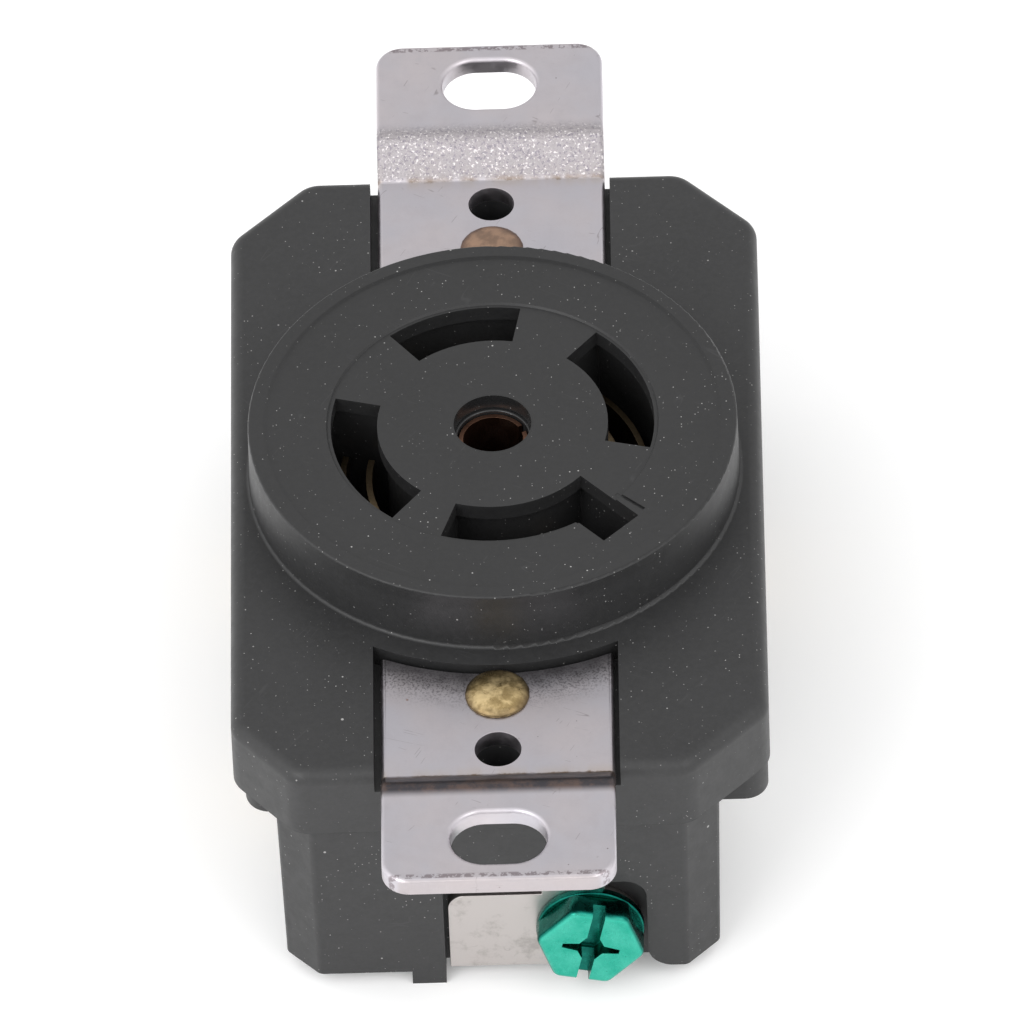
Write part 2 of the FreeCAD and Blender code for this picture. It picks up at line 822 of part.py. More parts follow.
def rear_cover():
    x = size("rear_left") + OVERCUT
    y = size("wing_length") / 2 + size("seat_gap")
    back = size("rear_back") - size("foot_height") - OVERCUT
    shelf_level = CONTACT_BOTTOM - size("seat_gap")
    shelf = size("contact_shelf_half_length")
    strap = size("strap_half_width") + size("channel_gap")
    wall = size("terminal_face")
    above = SLAB_BOTTOM + OVERCUT
    face = size("plate_face")
    passage = (STRAP_BOTTOM, size("strap_level") + size("seat_gap"))
    shoulder = (-strap, size("shoulder_right") + size("channel_gap"))
    shoulder_inner = size("shoulder_inner") + 2 * size("channel_gap")
    tools = [
        block("slab_seat", (-x, x), (-y, y), (SLAB_BOTTOM, FLANGE_BOTTOM + OVERCUT)),
        block("contact_shelf", (-wall, wall), (-shelf, shelf), (shelf_level, above)),
        block("strap_channel", (-strap, strap), (-y, size("strap_channel_end")),
              (STRAP_BOTTOM, above)),
        block("strap_passage", (-strap, strap), (face, -y), passage),
        block("tongue_channel", shoulder, (face, shoulder_inner), passage),
    ]
    tools += ground_pocket()
    for word, end in (("upper", 1), ("lower", -1)):
        y = end * rivet_distance(end)
        tools.append(rod(f"{word}_rear_hole", size("rivet_radius"), (back, 0), y=y))
        seat = (back, size("rivet_tail_level"))
        seat_radius = size("rivet_tail_radius") + size("tail_seat_gap")
        tools.append(rod(f"{word}_rear_seat", seat_radius, seat, y=y))
        y = end * size("plate_hole_spacing") / 2
        depth = (FLANGE_BOTTOM - size("relief_depth"), FLANGE_BOTTOM + OVERCUT)
        tools.append(rod(f"{word}_rear_relief", size("plate_hole_radius"), depth, y=y))
    for name, (side, end) in TERMINALS.items():
        tools += side_pocket(name, side, end)
    item = cut("rear_cover", fuse("rear_solid", [rear_blank()] + feet()), tools)
    item.Label = "rear_cover"
    return item


# ---------------------------------------------------------------- line contacts and terminals

def line_contact(name, spec):
    """Pair of curved leaves on a base, with a tab out to the vertical terminal plate."""
    side = spec["side"]
    end = spec["end"]
    label = f"{name}_contact"
    inner = size("leaf_inner_radius")
    outer = size("leaf_outer_radius")
    leaf = size("leaf_thickness")
    base_levels = (CONTACT_BOTTOM, SLAB_BOTTOM)
    leaf_levels = (CONTACT_BOTTOM, size("leaf_top"))
    start = spec["start"] + 2
    sweep = spec["sweep"] - 4
    face = size("terminal_face")
    back = face - size("metal_thickness")
    reach, low = spec["tab"]
    tab_x = (as_size(reach), face) if side > 0 else (-face, as_size(-reach))
    plate_x = (back, face) if side > 0 else (-face, -back)
    middle = end * size("terminal_y")
    half = size("terminal_width") / 2
    pieces = [
        ring_sector(f"{name}_base", (inner, outer), base_levels, start, sweep),
        ring_sector(f"{name}_inner_leaf", (inner, inner + leaf), leaf_levels, start, sweep),
        ring_sector(f"{name}_outer_leaf", (outer - leaf, outer), leaf_levels, start, sweep),
        block(f"{name}_tab", tab_x, (low, low + TAB_WIDTH), base_levels),
        block(f"{name}_terminal", plate_x, (middle - half, middle + half),
              (size("terminal_bottom"), SLAB_BOTTOM)),
    ]
    hole_start = (side * (back - OVERCUT), middle, size("terminal_z"))
    hole = cross_rod(f"{name}_screw_hole", size("screw_shank_radius") + size("screw_clearance"),
                     size("metal_thickness") + 2 * OVERCUT, hole_start, outward(side))
    item = cut(label, fuse(f"{name}_contact_solid", pieces), [hole])
    item.Label = label
    return item


def clamp_plate(name, side, end):
    """Pressure plate carried outward by its screw."""
    body = new_body(f"{name}_clamp")
    outline = new_sketch(body, f"{name}_clamp_outline", "XY_Plane")
    x = size("clamp_height") / 2
    y = size("clamp_width") / 2
    polygon(outline, [(x, y), (-x, y), (-x, -y), (x, -y)])
    circle(outline, size("screw_shank_radius") + size("screw_clearance"))
    plate = pad(body, f"{name}_clamp_plate", outline, size("clamp_thickness"))
    body.Tip = round_edges(
        body, f"{name}_clamp_corners", plate, size("clamp_corner"),
        lambda middle, edge: near(abs(middle.x), x.value) and near(abs(middle.y), y.value))
    seat = side * (size("terminal_face") + size("seat_gap"))
    return place(body, seat, end * size("terminal_y"), size("terminal_z"), outward(side))


def screw_profile(head_radius, head_height, head_round, shank_length):
    """Half section of a screw from its tip to its rounded head; the seat is at level zero."""
    shank = size("screw_shank_radius")
    tip = size("screw_tip")
    return [
        (0, -shank_length),
        (shank - tip, -shank_length),
        (shank, tip - shank_length),
        (shank, 0),
        (head_radius, 0),
        (head_radius, head_height - head_round),
        (head_radius - head_round, head_height),
        (0, head_height),
    ]


def terminal_screw(name, side, end):
    """Round-headed terminal screw with a straight slot and a shorter cross slot."""
    body = new_body(f"{name}_screw")
    head = size("screw_head_height")
    profile = new_sketch(body, f"{name}_screw_profile", "XZ_Plane")
    length = size("screw_shank_length") + size("clamp_thickness")
    head_round = size("screw_head_round")
    polygon(profile, screw_profile(size("screw_head_radius"), head, head_round, length))
    revolve(body, f"{name}_screw_turned", profile)
    straight_slot(body, f"{name}_slot", head, size("screw_slot_depth"), SLOT_TURNS[name])
    cross_recess(body, f"{name}_cross", head, size("screw_cross_depth"), SLOT_TURNS[name])
    seat = side * (size("terminal_face") + size("clamp_thickness") + 2 * size("seat_gap"))
    return place(body, seat, end * size("terminal_y"), size("terminal_z"), outward(side))


# ---------------------------------------------------------------- ground path

def ground_strap():
    """One pressing: ring under the centre sleeve, run to the lower rivet, and the end plate."""
    top = size("strap_level")
    half = size("strap_half_width")
    face = size("plate_face")
    inner = face + size("metal_thickness")
    shoulder = size("shoulder_right")
    x = size("ground_x")
    z = size("ground_z")
    bottom = size("rear_back") + size("seat_gap")
    end_radius = (size("plate_top") - bottom) / 2
    middle = (size("plate_top") + bottom) / 2
    collar = size("collar_height")
    to_end = Rotation(Vector(1, 0, 0), 90)
    pieces = [
        block("strap_run", (-half, half), (face, size("strap_inner_end")), (STRAP_BOTTOM, top)),
        block("strap_shoulder", (-half, shoulder), (face, size("shoulder_inner")),
              (STRAP_BOTTOM, top)),
        block("strap_tongue", (size("tongue_left"), shoulder), (face, inner), (middle, top)),
        round_block("end_plate", block("end_plate_blank", (size("plate_left"), x), (face, inner),
                                       (bottom, size("plate_top"))),
                    SIZES["plate_corner"], size("plate_left"), size("plate_top")),
        cross_rod("plate_end", end_radius, size("metal_thickness"), (x, inner, middle), to_end),
        cross_rod("screw_collar", size("screw_shank_radius") + size("collar_wall"), collar,
                  (x, inner + collar, z), to_end),
    ]
    length = size("metal_thickness") + collar + 2 * OVERCUT
    hole = cross_rod("ground_screw_hole", size("screw_shank_radius") + size("screw_clearance"),
                     length, (x, inner + collar + OVERCUT, z), to_end)
    levels = (STRAP_BOTTOM - OVERCUT, top + OVERCUT)
    rivet_hole = rod("strap_rivet_hole", size("rivet_radius"), levels, y=-rivet_distance(-1))
    item = cut("ground_strap", fuse("ground_strap_solid", pieces), [hole, rivet_hole])
    item.Label = "ground_strap"
    return item


def ground_sleeve():
    """Slit tube that grips the plug's centre pin, standing on the ground strap."""
    levels = (size("strap_level"), size("sleeve_top"))
    tube = rod("sleeve_tube", size("sleeve_radius"), levels)
    floor = size("strap_level") + size("metal_thickness")
    bore = rod("sleeve_hollow", size("sleeve_bore"), (floor, size("sleeve_top") + OVERCUT))
    half = size("sleeve_slit") / 2
    reach = size("sleeve_radius") + OVERCUT
    slit = doc.addObject("Part::Box", "sleeve_slit_cut")
    bind(slit, "Length", 2 * reach)
    bind(slit, "Width", 2 * half)
    bind(slit, "Height", size("sleeve_slit_depth") + OVERCUT)
    turn = math.radians(SLIT_ANGLE)
    corner_x = half * math.sin(turn) - reach * math.cos(turn)
    corner_y = -half * math.cos(turn) - reach * math.sin(turn)
    place(slit, corner_x, corner_y, size("sleeve_top") - size("sleeve_slit_depth"),
          Rotation(Vector(0, 0, 1), SLIT_ANGLE))
    item = cut("ground_sleeve", tube, [bore, slit])
    item.Label = "ground_sleeve"
    return item


def insulating_strip():
    """Fibre strip that keeps the ground strap away from the line contact above it."""
    half = size("strap_half_width") - size("channel_gap")
    item = block("insulating_strip", (-half, half),
                 (size("insulation_outer"), size("insulation_inner")),
                 (size("strap_level") + size("seat_gap"), CONTACT_BOTTOM - size("channel_gap")))
    item.Label = "insulating_strip"
    return item


def ground_washer():
    """Captive washer that the ground screw presses onto the wire."""
    body = new_body("ground_washer")
    outline = new_sketch(body, "washer_outline", "XY_Plane")
    circle(outline, size("ground_washer_radius"))
    circle(outline, size("screw_shank_radius") + size("screw_clearance"))
    plate = pad(body, "washer_plate", outline, size("ground_washer_thickness"))
    body.Tip = round_edges(
        body, "washer_rim", plate, size("ground_washer_round"),
        lambda middle, edge: near(middle.z, SIZES["ground_washer_thickness"])
        and near(math.hypot(middle.x, middle.y), SIZES["ground_washer_radius"]))
    to_end = Rotation(Vector(1, 0, 0), 90)
    seat = size("plate_face") - size("ground_seat_gap")
    return place(body, size("ground_x"), seat, size("ground_z"), to_end)


def turned(points, angle):
    """Sketch points turned about the sketch's origin by a fixed angle in degrees."""
    cosine = math.cos(math.radians(angle))
    sine = math.sin(math.radians(angle))
    return [(x * cosine - y * sine, x * sine + y * cosine) for x, y in points]


def straight_slot(body, name, level, depth, angle):
    """Slot right across a screw's head."""
    sketch = new_sketch(body, f"{name}_outline", "XY_Plane", level)
    half = SIZES["screw_slot_half_width"]
    corners = [(half, SLOT_REACH), (-half, SLOT_REACH), (-half, -SLOT_REACH), (half, -SLOT_REACH)]
    polygon(sketch, turned(corners, angle))
    body.Tip = pocket(body, name, sketch, depth)


def cross_recess(body, name, level, depth, angle):
    """Short arms across the slot, wide at the middle and narrow at their tips."""
    sketch = new_sketch(body, f"{name}_outline", "XY_Plane", level)
    tip = 2.3
    tip_half = 0.22
    root = 1.0
    root_half = 0.42
    heel = 0.55
    heel_half = 1.15
    side = [(tip, tip_half), (root, root_half), (heel, heel_half)]
    corners = side + [(-x, y) for x, y in reversed(side)]
    corners += [(-x, -y) for x, y in side] + [(x, -y) for x, y in reversed(side)]
    polygon(sketch, turned(corners, angle))
    body.Tip = pocket(body, name, sketch, depth)


def ground_screw():
    """Hexagon-headed ground screw with a straight slot and short cross arms."""
    body = new_body("ground_screw")
    height = size("ground_hex_height")
    outline = new_sketch(body, "hex_outline", "XY_Plane")
    corner = size("ground_hex_flats") / (2 * math.cos(math.radians(30)))
    angles = [math.radians(HEX_TURN + 60 * step) for step in range(6)]
    polygon(outline, [(corner * math.cos(angle), corner * math.sin(angle)) for angle in angles])
    head = pad(body, "hex_head", outline, height)
    head = round_edges(
        body, "hex_corners", head, size("ground_hex_corner_round"),
        lambda middle, edge: near(middle.z, SIZES["ground_hex_height"] / 2))
    head = round_edges(
        body, "hex_edge", head, size("ground_hex_edge_round"),
        lambda middle, edge: near(middle.z, SIZES["ground_hex_height"]))
    shank = new_sketch(body, "shank_outline", "XY_Plane")
    circle(shank, size("screw_shank_radius"))
    length = size("ground_shank_length") + size("ground_washer_thickness")
    pad(body, "ground_shank", shank, length, reverse=True)
    straight_slot(body, "ground_slot", height, size("ground_slot_depth"), GROUND_SLOT_TURN)
    cross_recess(body, "ground_cross", height, size("ground_cross_depth"), GROUND_SLOT_TURN)
    turn = Rotation(Vector(1, 0, 0), 90)
    seat = size("plate_face") - 2 * size("ground_seat_gap") - size("ground_washer_thickness")
    return place(body, size("ground_x"), seat, size("ground_z"), turn)


# ---------------------------------------------------------------- rivets

def rivet(label, end):
    """Long rivet: domed head on the ear, shank through the stack, rolled tail in the back."""
    body = new_body(label)
    radius = size("rivet_radius")
    head = size("rivet_head_radius")
    rise = size("rivet_head_height")
    tail_top = size("rivet_tail_level")
    tail_end = tail_top - size("rivet_tail_height")
    profile = new_sketch(body, f"{label}_profile", "XZ_Plane")
    polygon(profile, [
        (0, tail_end),
        (size("rivet_tail_radius"), tail_end),
        (size("rivet_tail_radius"), tail_top),
        (radius, tail_top),
        (radius, STRIP_TOP),
        (head, STRIP_TOP),
    ] + [(head * out, STRIP_TOP + rise * up) for out, up in DOME])
    body.Tip = revolve(body, f"{label}_turned", profile)
    return place(body, 0, end * rivet_distance(end), 0)


# ---------------------------------------------------------------- build, check and write

def build_parts():
    parts = [
        front_cover(),
        contact_carrier(),
        rear_cover(),
        ear("upper_ear", 1),
        ear("lower_ear", -1),
        rivet("upper_rivet", 1),
        rivet("lower_rivet", -1),
        ground_strap(),
        ground_sleeve(),
        insulating_strip(),
        ground_washer(),
        ground_screw(),
    ]
    for name, spec in OPENINGS.items():
        parts.append(line_contact(name, spec))
    for name, (side, end) in TERMINALS.items():
        parts.append(clamp_plate(name, side, end))
        parts.append(terminal_screw(name, side, end))
    return parts


def check_document():
    """Stop if any feature failed, because a recompute alone doesn't raise."""
    for item in doc.Objects:
        if "Invalid" in item.State or "Error" in item.State:
            raise RuntimeError(f"{item.Name} failed: {item.State}")


def check_part(part):
    shape = part.Shape
    if shape.isNull() or not shape.isValid():
        raise RuntimeError(f"{part.Label} has no valid shape")
    if len(shape.Solids) != 1:
        raise RuntimeError(f"{part.Label} has {len(shape.Solids)} solids")


def main():
    parts = build_parts()
    doc.recompute()
    check_document()
    for part in parts:
        check_part(part)
    os.makedirs("parts", exist_ok=True)
    for part in parts:
        part.Shape.exportStep(f"parts/{part.Label}.step")
        box = part.Shape.BoundBox
        print(f"{part.Label:18s} {part.Shape.Volume:9.1f} mm3 "
              f"x {box.XMin:6.2f} {box.XMax:6.2f} y {box.YMin:6.2f} {box.YMax:6.2f} "
              f"z {box.ZMin:6.2f} {box.ZMax:6.2f}")


main()
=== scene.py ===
"""Looks of a flush locking receptacle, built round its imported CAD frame.

Units are metres. In the frame, +Z points out of the face, +Y to the upper ear and +X across.
"""
import json
import math

import bpy
from mathutils import Matrix, Vector


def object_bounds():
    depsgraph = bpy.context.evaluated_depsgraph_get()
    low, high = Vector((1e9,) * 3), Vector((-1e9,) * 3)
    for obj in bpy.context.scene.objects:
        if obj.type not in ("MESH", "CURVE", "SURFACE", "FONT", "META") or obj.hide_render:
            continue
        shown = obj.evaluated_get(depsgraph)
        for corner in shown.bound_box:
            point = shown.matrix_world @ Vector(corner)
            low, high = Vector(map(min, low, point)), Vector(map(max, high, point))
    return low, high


MM = 0.001

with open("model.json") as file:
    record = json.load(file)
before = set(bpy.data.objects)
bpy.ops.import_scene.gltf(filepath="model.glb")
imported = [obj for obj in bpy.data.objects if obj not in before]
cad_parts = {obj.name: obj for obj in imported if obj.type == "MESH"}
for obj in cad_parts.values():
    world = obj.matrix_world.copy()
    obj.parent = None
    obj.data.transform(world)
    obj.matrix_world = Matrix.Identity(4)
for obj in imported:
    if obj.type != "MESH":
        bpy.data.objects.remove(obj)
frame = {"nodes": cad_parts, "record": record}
cad_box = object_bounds()

# Places on the part that its marks and wear follow.
TOP_LEVEL = 4.0 * MM            # Z above which the boss top is painted darker, as painted shade
JOINT_LEVEL = -7.0 * MM         # Z of the joint under the front cover
GLOSSY_RADIUS = 3.2 * MM        # the pin hole's wall, inside this, is glossier
BOSS_SHADE_RADIUS = 21.6 * MM        # from the middle, where the painted shadow of the boss on the lower ear starts to fade
BEND_FOOT = 33.0 * MM           # about where along Y an ear starts to rise
BEND_TOP = 36.8 * MM            # and about where it is level again
EAR_END = 46.2 * MM
UPPER_RIVET_Y = 24.9 * MM
LOWER_RIVET_Y = -24.3 * MM
RIVET_RIM_RADIUS = 2.2 * MM     # where a rivet head's darker rim starts
CROWN_Y = -34.22 * MM           # the ground screw's crown is before this, painted pale green as lit; behind it, painted deeper green as shade

# Edges and meshes.
EDGE_WIDTH = 0.12 * MM
EDGE_WIDTHS = {"front_cover": 0.20 * MM, "contact_carrier": 0.15 * MM, "rear_cover": 0.20 * MM}
EDGE_SEGMENTS = 2
SHARP_ANGLE = math.radians(50)
FLAT_ANGLE = math.radians(0.6)
WELD_DISTANCE = 0.001 * MM

# Floor, lamps and camera.
FLOOR_SIZE = 6.0
FLOOR_GLOW = 0.16
LAMP_SIZE = 0.5
LAMPS = {"key": ((-0.45, -0.55, 0.55), 2.4), "fill": ((0.45, -0.45, 0.60), 1.2)}
# The surround's strength goes from the first value to the second as its direction goes up an axis.
SURROUND = (("Y", (0.0, 0.65), (1.15, 0.80)), ("X", (-0.95, -0.35), (1.35, 1.0)))
SENSOR_WIDTH_MM = 36.0
LENS_MM = 679.35
CLIP_START = 0.05
CLIP_END = 20.0
CAMERA_AZIMUTH = math.radians(1.216)
CAMERA_ELEVATION = math.radians(46.288)
CAMERA_ROLL = math.radians(-2.444)
CAMERA_DISTANCE = 1.53865
CAMERA_TARGET = Vector((1.363 * MM, -5.136 * MM, 0.0))


# ---------------------------------------------------------------- node helpers

def scaled(colour, factor):
    return tuple(part * factor for part in colour)


class Shader:
    """One material under way: its base colour, its bumps, and short calls that add and wire nodes."""

    def __init__(self, name):
        self.material = bpy.data.materials.new(name)
        self.material.use_nodes = True
        self.tree = self.material.node_tree
        self.surface = self.tree.nodes["Principled BSDF"]
        self.place = self.add("ShaderNodeTexCoord").outputs["Object"]
        self.base = None
        self.normal = None

    def add(self, kind, inputs=None, **settings):
        node = self.tree.nodes.new(kind)
        for key, value in settings.items():
            setattr(node, key, value)
        for key, value in (inputs or {}).items():
            self.feed(node.inputs[key], value)
        return node

    def feed(self, socket, value):
        if isinstance(value, bpy.types.NodeSocket):
            self.tree.links.new(value, socket)
        else:
            socket.default_value = value

    # ---- numbers

    def math(self, operation, first, second=0.0):
        return self.add("ShaderNodeMath", {0: first, 1: second}, operation=operation).outputs[0]

    def times(self, first, second):
        return self.math("MULTIPLY", first, second)

    def most(self, first, second):
        return self.math("MAXIMUM", first, second)

    def away_from(self, value, place):
        """How far a value is from a place, on either side of it."""
        return self.math("ABSOLUTE", self.math("SUBTRACT", value, place))

    def ramp(self, value, low, high, start=0.0, end=1.0):
        """Smooth step from start to end while value goes from low to high."""
        inputs = {"Value": value, "From Min": low, "From Max": high, "To Min": start, "To Max": end}
        return self.add("ShaderNodeMapRange", inputs, interpolation_type="SMOOTHSTEP").outputs[0]

    # ---- places

    def axis(self, letter):
        return self.add("ShaderNodeSeparateXYZ", {0: self.place}).outputs[letter]

    def vector(self, operation, first, second):
        return self.add("ShaderNodeVectorMath", {0: first, 1: second}, operation=operation).outputs

    def stretch(self, factors):
        """Object coordinates scaled along each axis, for streaks and scratches."""
        return self.vector("MULTIPLY", self.place, factors)[0]

    def spread_from(self, x, y):
        """Distance from an upright line through a point."""
        return self.vector("DISTANCE", self.stretch((1.0, 1.0, 0.0)), (x, y, 0.0))["Value"]

    # ---- patterns

    def noise(self, scale, detail=3.0, roughness=0.5, vector=None):
        inputs = {"Vector": vector or self.place, "Scale": scale, "Detail": detail, "Roughness": roughness}
        return self.add("ShaderNodeTexNoise", inputs).outputs["Fac"]

    def specks(self, scale, radius, share, seed=0.0):
        """Sparse round specks: the share of cells that hold one, each of its own size."""
        shifted = self.vector("ADD", self.place, (seed, seed, seed))[0]
        cells = self.add("ShaderNodeTexVoronoi", {"Vector": shifted, "Scale": scale})
        parts = self.add("ShaderNodeSeparateColor", {"Color": cells.outputs["Color"]})
        chosen = self.math("LESS_THAN", parts.outputs["Red"], share)
        reach = self.times(self.ramp(parts.outputs["Green"], 0.0, 1.0, 0.35, 1.0), radius)
        inside = self.ramp(self.math("DIVIDE", cells.outputs["Distance"], reach), 0.7, 1.0, 1.0, 0.0)
        return self.times(chosen, inside)

    def hairlines(self, angle, scale, width, share):
        """Sparse thin scratches that run mostly along one direction, as a mask of 0 to 1."""
        inputs = {"Vector": self.place, "Angle": math.radians(angle)}
        turned = self.add("ShaderNodeVectorRotate", inputs, rotation_type="Z_AXIS").outputs[0]
        drawn = self.vector("MULTIPLY", turned, (1.0, 0.10, 1.0))[0]
        line = self.away_from(self.noise(scale, 1.0, 0.4, drawn), 0.5)
        here = self.ramp(self.noise(scale * 0.7, 1.0, 0.5, turned), share, share + 0.06)
        return self.times(self.ramp(line, 0.0, width, 1.0, 0.0), here)

    # ---- the surface

    def blend(self, amount, first, second):
        """Colour between two colours."""
        node = self.add("ShaderNodeMix", data_type="RGBA")
        self.feed(node.inputs["Factor"], amount)
        for socket, colour in ((node.inputs[6], first), (node.inputs[7], second)):
            self.feed(socket, colour if isinstance(colour, bpy.types.NodeSocket) else (*colour, 1.0))
        return node.outputs[2]

    def coat(self, mask, colour, strength=1.0):
        """Lay a colour over the base where the mask is."""
        amount = mask if strength == 1.0 else self.times(mask, strength)
        self.base = self.blend(amount, self.base, colour)

    def bump(self, height, strength, distance):
        """Add relief on top of the relief so far."""
        inputs = {"Height": height, "Strength": strength, "Distance": distance}
        if self.normal is not None:
            inputs["Normal"] = self.normal
        self.normal = self.add("ShaderNodeBump", inputs).outputs["Normal"]

    def finish(self, **sockets):
        """Wire the base colour, the relief and the other sockets named, and give the material."""
        sockets["Base_Color"] = self.base
        if self.normal is not None:
            sockets["Normal"] = self.normal
        for key, value in sockets.items():
            self.feed(self.surface.inputs[key.replace("_", " ")], value)
        return self.material


# ---------------------------------------------------------------- black mouldings

def dust_layers(shader, amount):
    """Dust in four sizes of speck, the two finer sizes lying in patches."""
    patchy = shader.ramp(shader.noise(120, 3.0, 0.6), 0.38, 0.62, 0.25, 1.0)
    fine = shader.specks(3600, radius=0.22, share=amount * 1.2)
    middling = shader.specks(1500, radius=0.13, share=amount * 1.3, seed=3.0)
    coarse = shader.specks(560, radius=0.075, share=amount * 1.5, seed=6.0)
    large = shader.specks(260, radius=0.042, share=amount * 1.6, seed=9.0)
    return shader.most(shader.times(shader.most(fine, middling), patchy), shader.most(coarse, large))


def joint_line(shader, up):
    """Broken dark line of dirt along the joint under the front cover."""
    gap = shader.math("ADD", shader.away_from(up, JOINT_LEVEL),
                      shader.times(shader.noise(1500, 3.0, 0.6), 0.25 * MM))
    broken = shader.ramp(shader.noise(420, 3.0, 0.6), 0.42, 0.56)
    return shader.times(shader.ramp(gap, 0.14 * MM, 0.24 * MM, 0.8, 0.0), broken)


def moulded_nylon(name, colour, roughness, dust):
    """Dark moulded nylon: fine mottle, a top painted darker as painted shade, faint rubs, patchy pale dust
    and a dirty joint line.
    """
    shader = Shader(name)
    up = shader.axis("Z")
    tone = shader.ramp(shader.noise(150, 4.0, 0.6), 0.3, 0.7)
    shader.base = shader.blend(tone, colour, scaled(colour, 1.16))
    mottle = shader.ramp(shader.noise(2300, 4.0, 0.75), 0.35, 0.68)
    shader.coat(mottle, scaled(colour, 1.55), 0.55)
    # Painted shade: the boss top is painted darker than the walls below it.
    boss_top_shade = shader.ramp(up, TOP_LEVEL - 0.5 * MM, TOP_LEVEL + 0.5 * MM)
    shader.coat(boss_top_shade, scaled(colour, 0.45), 0.40)
    rubs = shader.most(shader.hairlines(35, scale=520, width=0.008, share=0.60),
                       shader.hairlines(-62, scale=460, width=0.007, share=0.62))
    shader.coat(rubs, scaled(colour, 3.0), 0.25)
    shader.coat(joint_line(shader, up), (0.004, 0.004, 0.004))
    dusty = dust_layers(shader, dust)
    shader.coat(dusty, (0.50, 0.49, 0.48), 0.62)

    rough = shader.ramp(shader.noise(700, 5.0, 0.7), 0.3, 0.7, roughness - 0.03, roughness + 0.06)
    out = shader.spread_from(0.0, 0.0)
    throat = shader.ramp(out, GLOSSY_RADIUS, GLOSSY_RADIUS + 0.15 * MM, 0.26, 0.0)
    shader.bump(shader.noise(4200, 3.0, 0.6), 0.14, 0.03 * MM)
    shader.bump(shader.noise(130, 2.0), 0.04, 0.6 * MM)
    shader.bump(dusty, 0.4, 0.03 * MM)
    return shader.finish(Roughness=shader.math("SUBTRACT", rough, throat))


# ---------------------------------------------------------------- mounting ears

def stain_folds(shader, reach, ragged):
    """Thin rusty line and a pale halo along the foot of each bend."""
    fold = shader.away_from(reach, BEND_FOOT)
    broken = shader.ramp(shader.noise(330, 3.0, 0.6, shader.stretch((1.0, 0.1, 0.1))), 0.40, 0.56)
    line = shader.ramp(shader.math("ADD", fold, ragged), 0.50 * MM, 0.75 * MM, 0.9, 0.0)
    shader.coat(shader.times(line, broken), (0.15, 0.09, 0.055))
    halo = shader.ramp(fold, 0.2 * MM, 1.3 * MM, 0.30, 0.0)
    shader.coat(shader.times(halo, broken), (0.52, 0.43, 0.33))


def shade_beside_boss(shader, along, ragged):
    """Painted shadow of the boss on the lower ear, darkest beside the boss, part of it in dark speckles.
    """
    lower = shader.ramp(along, -1.0 * MM, 0.0, 1.0, 0.0)
    out = shader.math("SUBTRACT", shader.spread_from(0.0, 0.0), shader.times(ragged, 1.2))
    # Painted shadow that the boss casts on the lower ear, fading out from the boss.
    boss_shade = shader.ramp(out, BOSS_SHADE_RADIUS, BOSS_SHADE_RADIUS + 2.6 * MM, 1.0, 0.0)
    shader.coat(shader.times(lower, boss_shade), (0.12, 0.115, 0.12), 0.88)
    # Speckled painted shade, also fading out from the boss.
    speckled_shade = shader.ramp(shader.noise(5200, 3.0, 0.7), 0.50, 0.58)
    zone = shader.ramp(out, BOSS_SHADE_RADIUS + 0.8 * MM, BOSS_SHADE_RADIUS + 4.4 * MM, 0.7, 0.0)
    shader.coat(shader.times(shader.times(lower, zone), speckled_shade), (0.12, 0.11, 0.12))


def shade_lower_bend(shader, along):
    """Brown-black painted shade on the lower ear's rise."""
    rise = shader.times(shader.ramp(along, -BEND_TOP - 0.5 * MM, -BEND_TOP + 0.5 * MM),
                        shader.ramp(along, -BEND_FOOT - 0.15 * MM, -BEND_FOOT, 1.0, 0.0))
    # Painted shade, brown-black, for the shadowed rise of the lower ear.
    lower_bend_shade = shader.blend(shader.ramp(shader.noise(500, 4.0, 0.7), 0.40, 0.62), (0.045, 0.043, 0.050),
                          (0.13, 0.085, 0.07))
    shader.coat(rise, lower_bend_shade, 0.93)


def paint_light_on_upper_bend(shader, along):
    """Painted light on the upper ear's rise: the rise painted darker, then coarse painted glints and
    painted shadow specks. Gives where that rise is.
    """
    rise = shader.times(shader.ramp(along, BEND_FOOT - 0.3 * MM, BEND_FOOT + 0.3 * MM),
                        shader.ramp(along, BEND_TOP - 0.9 * MM, BEND_TOP + 0.6 * MM, 1.0, 0.0))
    # Painted shade: the rise painted darker than the flat.
    shader.coat(rise, (0.385, 0.355, 0.365), 0.80)
    # Painted glints: coarse bright specks.
    glints = shader.ramp(shader.noise(4600, 2.0, 0.6), 0.57, 0.66)
    shader.coat(shader.times(rise, glints), (0.90, 0.86, 0.86), 0.75)
    # Painted shadow specks: coarse dark specks.
    dark = shader.ramp(shader.noise(3900, 2.0, 0.6), 0.36, 0.45, 1.0, 0.0)
    shader.coat(shader.times(rise, dark), (0.20, 0.18, 0.23), 0.55)
    return rise


def wear_ends(shader, reach):
    """Torn dark marks just short of each ear's end, and a worn end face."""
    edge = shader.times(shader.ramp(reach, EAR_END - 0.85 * MM, EAR_END - 0.65 * MM),
                        shader.ramp(reach, EAR_END - 0.40 * MM, EAR_END - 0.25 * MM, 1.0, 0.0))
    torn = shader.times(edge, shader.ramp(shader.noise(1700, 3.0, 0.7), 0.47, 0.54))
    shader.coat(torn, (0.17, 0.13, 0.14), 0.65)
    worn = shader.ramp(reach, EAR_END - 0.3 * MM, EAR_END - 0.1 * MM)
    shader.coat(worn, (0.44, 0.39, 0.385), 0.55)


